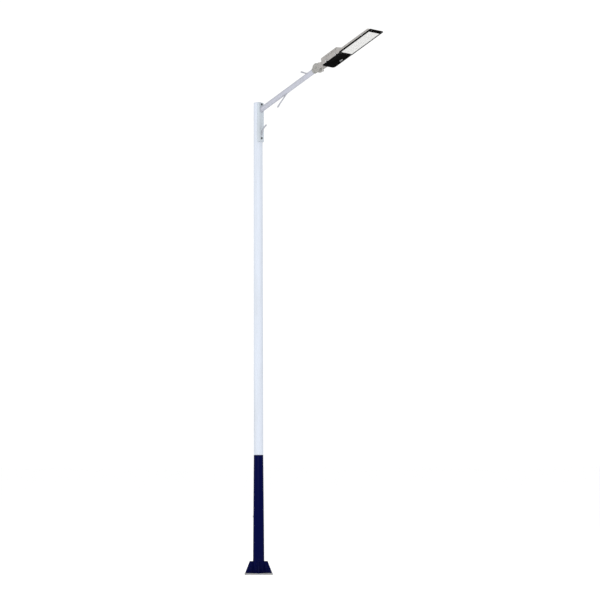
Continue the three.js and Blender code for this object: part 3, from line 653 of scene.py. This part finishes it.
def make_bracket_bolts():
    """Hexagon bolts through the bracket and the pole, each with washers and a nut at the back."""
    washer = FACE_X + 0.0003
    head = washer + 0.0022
    back = TOP_R + 0.0008
    nut = back + 0.002
    head_af = BOLT["head_af"]
    nut_af = BOLT["nut_af"]
    for name in ("upper", "lower"):
        low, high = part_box(f"bracket_bolt_{name}")
        centre = Matrix.Translation((0, 0, (low.z + high.z) / 2))
        forward = centre @ AROUND_X
        shape = Shape()
        shape.lathe([(0.0125, washer), (0.0132, washer + 0.0006), (0.0132, head - 0.0006), (0.0125, head)],
                    forward)
        shape.loft([hexagon(head_af, head, 0.0112), hexagon(head_af, head + 0.0006, 0.0122),
                    hexagon(head_af, head + 0.0058, 0.0122), hexagon(head_af, head + 0.0074, 0.0104)],
                   forward)
        shape.lathe([(BOLT["r"], BOLT["grip_x"]), (BOLT["r"], washer)], forward, 24)
        shape.finish(f"bolt_{name}_head", "post", BOLT_STEEL, "bolt_steel", (f"bracket_bolt_{name}",))

        backward = centre @ AROUND_MINUS_X
        shape = Shape()
        shape.lathe([(0.0112, back), (0.012, back + 0.0005), (0.012, back + 0.0015), (0.0112, nut)], backward)
        shape.loft([hexagon(nut_af, nut, 0.0100), hexagon(nut_af, nut + 0.0014, 0.0110),
                    hexagon(nut_af, nut + 0.0076, 0.0110), hexagon(nut_af, nut + 0.009, 0.0095)], backward)
        shape.lathe(threaded(BOLT["tip_x"], BOLT["thread_x"], BOLT["r"]), forward, 24)
        shape.finish(f"bolt_{name}_nut", "post", BOLT_STEEL, "bolt_steel", (f"bracket_nut_{name}",))


# ------------------------------------------------------------------ arm
ARM_R = 0.032
ARM_REACH = 1.065  # from the bracket's face to the tilt axis, along the arm
HORN_COLLAR = {"r": 0.0108, "bead": 0.0026}
# Each horn's centre line in the lantern's frame: distance along the arm from its foot, and height.
ARM_HORNS = {
    "lower": ((0.484, -0.020), (0.430, -0.044), (0.362, -0.070), (0.310, -0.089), (0.266, -0.110)),
    "upper": ((0.880, 0.022), (0.862, 0.038), (0.842, 0.055), (0.820, 0.075), (0.796, 0.096)),
}
BRACKET_HORN = ((0.058, 0, 5.572), (0.067, 0, 5.597), (0.083, 0, 5.636), (0.110, 0, 5.668), (0.140, 0, 5.692))


def horn(path):
    """A forged horn: thick at its weld, slimmer along its run, with a rounded blunt end."""
    count = len(path)
    radii = []
    for i in range(count):
        along = i / (count - 1)
        radii.append(0.0098 - 0.0022 * math.sin(math.pi * min(along * 1.1, 1.0)) + 0.0006 * along)
    last = path[-1]
    ahead = (path[-1] - path[-2]).normalized()
    end = radii[-1]
    for a in (0.35, 0.7, 1.05, 1.35, 1.5):
        path.append(last + ahead * end * math.sin(a))
        radii.append(end * math.cos(a))
    return Shape().tube(path, radii, 16)


def collar_bead(shape, centre, direction):
    """A weld bead round a horn where it leaves the surface that carries it."""
    aim = direction.to_track_quat("Z", "Y").to_matrix().to_4x4()
    ring = [Matrix.Translation(centre) @ aim @ p for p in ring_path(HORN_COLLAR["r"], 0)]
    shape.bead(ring, HORN_COLLAR["bead"], closed=True)


def make_horns():
    """The arm's two horns, the bracket's horn, and the weld beads at them and at the arm's foot."""
    # The horns and the arm's welds wear the darker copies of the white coat: painted shade.
    welds = Shape()
    for name, points in ARM_HORNS.items():
        path = [LANTERN @ p for p in smooth_path([(s - ARM_REACH, 0, h) for s, h in points], 5)]
        collar_bead(welds, path[2], path[3] - path[1])
        horn(path).finish(f"arm_horn_{name}", "post", HORN_WHITE_PAINTED_SHADE, "white_paint", (f"arm_spur_{name}",))
    path = smooth_path(BRACKET_HORN, 5)
    collar_bead(welds, path[1], path[2] - path[0])
    horn(path).finish("bracket_horn", "post", HORN_WHITE_PAINTED_SHADE, "white_paint", ("bracket_spur",))
    foot = LANTERN @ Vector((-ARM_REACH, 0, 0))
    bead_r = ARM_R + 0.001
    ellipse = [Vector((FACE_X + 0.0012, bead_r * math.cos(a), foot.z + bead_r / math.cos(TILT) * math.sin(a)))
               for a in turn(140)]
    welds.bead(ellipse, 0.0038, closed=True)
    welds.finish("weld_arm_and_horns", "post", ARM_WHITE_PAINTED_SHADE, "white_paint")


# ------------------------------------------------------------------ service opening
def make_lock_collar():
    """The turned ring round the door's lock barrel."""
    centre = JOINTS["door_lock_turn"]["pos_m"]
    place = Matrix.Translation((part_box("lock_barrel")[0].x, centre[1], centre[2])) @ AROUND_X
    profile = [(0.0076, 0.0012), (0.0076, 0.0105), (0.0112, 0.0105), (0.0112, 0.0024), (0.0104, 0.0014),
               (0.0086, 0.0012)]
    collar = Shape().lathe(profile, place, 40, closed=True)
    collar.finish("lock_collar", "service_door", STAINLESS, "stainless")


WIRE_R = 0.0016
TERMINAL_YS = (-0.015, -0.005, 0.005, 0.015)
# The centre of each screw's face: on the terminal block and on the circuit breaker.
SERVICE_SCREWS = [(0.020, y, z) for z in (0.668, 0.632) for y in TERMINAL_YS]
SERVICE_SCREWS += [(0.018, y, z) for z in (0.770, 0.840) for y in (-0.021, -0.011)]


def wire(name, body, material, points):
    """A thin insulated wire along a smooth curve through its points."""
    path = smooth_path(points, 8)
    Shape().tube(path, [WIRE_R] * len(path), 10).finish(name, body, material, "rubber")


def make_service_wiring():
    """Live, neutral and earth wires behind the door, and the brass screws that hold them."""
    wire("service_wire_live", "post", WIRE_BROWN,
         ((0.028, -0.015, 0.679), (0.023, -0.016, 0.700), (0.023, -0.018, 0.735), (0.028, -0.018, 0.762)))
    wire("service_wire_neutral", "post", WIRE_BLUE,
         ((0.028, -0.005, 0.679), (0.021, -0.006, 0.702), (0.022, -0.010, 0.735), (0.028, -0.011, 0.762)))
    wire("service_wire_earth", "post", WIRE_EARTH,
         ((0.030, -0.005, 0.622), (0.027, -0.009, 0.610), (0.030, -0.010, 0.597), (0.0325, -0.006, 0.590),
          (0.0325, 0, 0.588)))
    screws = Shape()
    for at in SERVICE_SCREWS:
        place = Matrix.Translation(at) @ AROUND_MINUS_X
        screws.lathe([(0.0033, -0.0005), (0.0033, 0.0008), (0.0028, 0.0012), (0.0008, 0.0012)], place, 20)
    screws.finish("terminal_screws", "post", BRASS, "brass")


# ------------------------------------------------------------------ lantern
FRAME_LOW, FRAME_HIGH = lantern_box("lens_frame")
FACE_Z = FRAME_LOW.z
SIDE_Y = FRAME_HIGH.y
TIP_X = FRAME_HIGH.x
CHEEK_Y = 0.045  # the outer face of each cheek of the knuckle
DOWNWARD = Matrix.Rotation(math.pi, 4, "X")
LATCH = LANTERN.inverted() @ Vector(JOINTS["cover_latch_turn"]["pos_m"])


def make_knuckle_rims():
    """A raised rim and an angle scale of short teeth on each side of the tilting joint."""
    face = CHEEK_Y - 0.0005
    for name, side in (("near", 1), ("far", -1)):
        outward = LANTERN @ Matrix.Rotation(side * math.pi / 2, 4, "X")
        shape = Shape()
        shape.lathe([(0.0415, face), (0.042, face + 0.0030), (0.0435, face + 0.0042), (0.0505, face + 0.0042),
                     (0.0530, face + 0.0028), (0.0538, face)], outward, 64, closed=True)
        shape.lathe([(0.0170, face), (0.0172, face + 0.0012), (0.0215, face + 0.0012), (0.0222, face)],
                    outward, 48, closed=True)
        for a in turn(24):
            tooth = outward @ Matrix.Rotation(a, 4, "Z")
            shape.slab((0.0270, 0.0370), (-0.0011, 0.0011), (face, face + 0.0018), 0.0008, 0.0005, tooth)
        shape.finish(f"knuckle_rim_{name}", "lantern", KNUCKLE_GREY_PAINTED_SHADE, "cast_grey")


def make_socket_lip():
    """The rolled lip where the arm enters the knuckle's socket."""
    rear = lantern_box("knuckle_socket")[0].x
    place = LANTERN @ Matrix.Translation((rear, 0, 0)) @ AROUND_X
    profile = [(0.0326, -0.0004), (0.0326, 0.001), (0.0372, 0.010), (0.0392, 0.008), (0.0398, 0.005),
               (0.0392, 0.0015), (0.0372, -0.0004)]
    Shape().lathe(profile, place, 56, closed=True).finish("socket_lip", "post", KNUCKLE_GREY_PAINTED_SHADE, "cast_grey")


ROOF_RIBS = {"count": 11, "pitch": 0.0165, "half_w": 0.0017, "x": (0.186, 0.440), "z": (0.0262, 0.0312)}
SIDE_RIBS = {"y": 0.1034, "half_w": 0.0022, "x": (0.196, 0.430), "zs": (-0.004, 0.007, 0.018), "rise": 0.0030}


def make_gear_box_ribs():
    """Long ribs along the top and both sides of the raised gear housing."""
    shape = Shape()
    half_w = ROOF_RIBS["half_w"]
    for i in range(ROOF_RIBS["count"]):
        y = ROOF_RIBS["pitch"] * (i - (ROOF_RIBS["count"] - 1) / 2)
        shape.slab(ROOF_RIBS["x"], (y - half_w, y + half_w), ROOF_RIBS["z"], 0.0015, 0.0010, LANTERN)
    half_w = SIDE_RIBS["half_w"]
    for side in (-1, 1):
        outward = Matrix.Rotation(-side * math.pi / 2, 4, "X")
        for z in SIDE_RIBS["zs"]:
            flank = LANTERN @ Matrix.Translation((0, side * SIDE_RIBS["y"], z)) @ outward
            shape.slab(SIDE_RIBS["x"], (-half_w, half_w), (0, SIDE_RIBS["rise"]), 0.0018, 0.0011, flank)
    shape.finish("gear_box_ribs", "lantern", CAST_GREY, "cast_grey")


def make_frame_skirt():
    """The black frame's turned-up edge along both sides of the light section and across its tip."""
    proud = 0.0013
    sunk = 0.0004
    z = (FACE_Z + 0.0002, FACE_Z + 0.015)
    shape = Shape()
    for side in (-1, 1):
        y = sorted((side * (SIDE_Y - sunk), side * (SIDE_Y + proud)))
        shape.slab((FRAME_LOW.x + 0.003, TIP_X + proud), y, z, 0.0006, 0.0005, LANTERN)
    shape.slab((TIP_X - sunk, TIP_X + proud), (-SIDE_Y - proud, SIDE_Y + proud), z, 0.0006, 0.0005, LANTERN)
    shape.finish("frame_skirt", "lantern", BLACK, "black_paint")


LENS_MODULES = {"along": 4, "across": 2, "gap": 0.0012}
LENS_DOMES = {"along": 6, "across": 5, "radius": 0.0078, "height": 0.0030}


def make_lens_array():
    """Moulded lens modules, each a clear plate with a dome over every LED."""
    low, high = lantern_box("lens_panel")
    length = (high.x - low.x) / LENS_MODULES["along"]
    width = (high.y - low.y) / LENS_MODULES["across"]
    edge = LENS_MODULES["gap"] / 2
    dome = [(LENS_DOMES["radius"] * math.cos(a), LENS_DOMES["height"] * math.sin(a))
            for a in (0.0, 0.45, 0.9, 1.3)]
    shape = Shape()
    for i in range(LENS_MODULES["along"]):
        for j in range(LENS_MODULES["across"]):
            x = low.x + i * length
            y = low.y + j * width
            shape.slab((x + edge, x + length - edge), (y + edge, y + width - edge), (low.z, high.z),
                       0.003, 0.0005, LANTERN)
            for m in range(LENS_DOMES["along"]):
                for n in range(LENS_DOMES["across"]):
                    centre = Vector((x + length * (m + 0.5) / LENS_DOMES["along"],
                                     y + width * (n + 0.5) / LENS_DOMES["across"], low.z))
                    shape.lathe(dome, LANTERN @ Matrix.Translation(centre) @ DOWNWARD, 12)
    shape.finish("lens_array", "lantern", LENS, "lens", ("lens_panel",))


COVER_BORDER = {"x": (0.176, 0.444), "y": (-0.094, 0.094), "corner": 0.020, "width": 0.007, "slope": 0.0012}
VENT = (0.206, 0.060)


def cover_border_ring(inset, z):
    """The outline of the cover's border, drawn in by an amount."""
    x0, x1 = COVER_BORDER["x"]
    y0, y1 = COVER_BORDER["y"]
    corner = COVER_BORDER["corner"] - inset
    return rounded_rectangle((x0 + inset, x1 - inset), (y0 + inset, y1 - inset), z, corner)


def make_cover_details():
    """A raised border pressed into the gear cover and a small pressure vent."""
    width = COVER_BORDER["width"]
    slope = COVER_BORDER["slope"]
    base = FACE_Z + 0.0002
    crest = FACE_Z - 0.0016
    shape = Shape()
    shape.loft([cover_border_ring(0, base), cover_border_ring(slope, crest),
                cover_border_ring(width - slope, crest), cover_border_ring(width, base)],
               LANTERN, closed=True)
    vent = LANTERN @ Matrix.Translation((*VENT, FACE_Z)) @ DOWNWARD
    shape.lathe([(0.0100, -0.0003), (0.0098, 0.0014), (0.0086, 0.0020), (0.0060, 0.0020), (0.0052, 0.0012),
                 (0.0012, 0.0012)], vent, 36)
    shape.finish("cover_border", "driver_cover", BLACK, "black_paint")


def make_latch_grip():
    """The raised bar of the quarter-turn latch."""
    underside = lantern_box("cover_latch")[0].z
    shape = Shape()
    place = LANTERN @ Matrix.Translation((LATCH.x, LATCH.y, underside + 0.0006)) @ DOWNWARD
    shape.slab((-0.020, 0.020), (-0.0035, 0.0035), (0, 0.0062), 0.0034, 0.0012, place)
    shape.finish("latch_grip", "cover_latch", STEEL_GREY, "grey_plastic")


BONDING_SCREW = {"x": 0.262, "z": -0.040, "across": 0.012}


def make_side_screws():
    """Pan-head screws on the cover's hinge leaves and the washered bonding screw between them."""
    shape = Shape()
    outward = Matrix.Rotation(math.pi / 2, 4, "X")
    pan = [(0.0030, -0.0004), (0.0030, 0.0008), (0.0024, 0.0017), (0.0006, 0.0020)]
    for node in ("cover_hinge_rear", "cover_hinge_front"):
        low, high = lantern_box(node)
        for z in (high.z - 0.006, high.z - 0.017):
            at = Vector(((low.x + high.x) / 2, -SIDE_Y - 0.0024, z))
            shape.lathe(pan, LANTERN @ Matrix.Translation(at) @ outward, 20)
    shape.finish("hinge_screws", "lantern", STAINLESS, "stainless")

    screw = Shape()
    across = BONDING_SCREW["across"]
    place = LANTERN @ Matrix.Translation((BONDING_SCREW["x"], -SIDE_Y, BONDING_SCREW["z"])) @ outward
    screw.lathe([(0.0092, -0.0004), (0.0096, 0.0005), (0.0096, 0.0014), (0.0090, 0.0019)], place, 40)
    screw.loft([hexagon(across, 0.0016, 0.0066), hexagon(across, 0.0022, 0.0072),
                hexagon(across, 0.0058, 0.0072), hexagon(across, 0.0068, 0.0060)], place)
    screw.finish("bonding_screw", "lantern", STAINLESS, "stainless")


def lantern_points(*points):
    """Points given in the lantern's own frame, in the part's frame."""
    return [LANTERN @ Vector(p) for p in points]


def make_head_wiring():
    """Live and neutral wires from the lantern's terminals to the far end of the LED driver."""
    wire("head_wire_live", "lantern", WIRE_BROWN, lantern_points(
        (0.255, 0.022, 0.002), (0.285, 0.020, -0.004), (0.330, 0.002, -0.008), (0.372, -0.006, -0.008),
        (0.388, -0.022, -0.006), (0.386, -0.040, -0.003), (0.369, -0.044, -0.002)))
    wire("head_wire_neutral", "lantern", WIRE_BLUE, lantern_points(
        (0.255, 0.042, 0.002), (0.290, 0.042, -0.004), (0.350, 0.020, -0.012), (0.384, -0.004, -0.012),
        (0.393, -0.034, -0.007), (0.386, -0.056, -0.003), (0.369, -0.060, -0.002)))


add_camera()
add_studio()
dress_cad_nodes()
make_base_welds()
make_shaft_seams()
make_bracket_bolts()
make_horns()
make_lock_collar()
make_service_wiring()
make_knuckle_rims()
make_socket_lip()
make_gear_box_ribs()
make_frame_skirt()
make_lens_array()
make_cover_details()
make_latch_grip()
make_side_screws()
make_head_wiring()
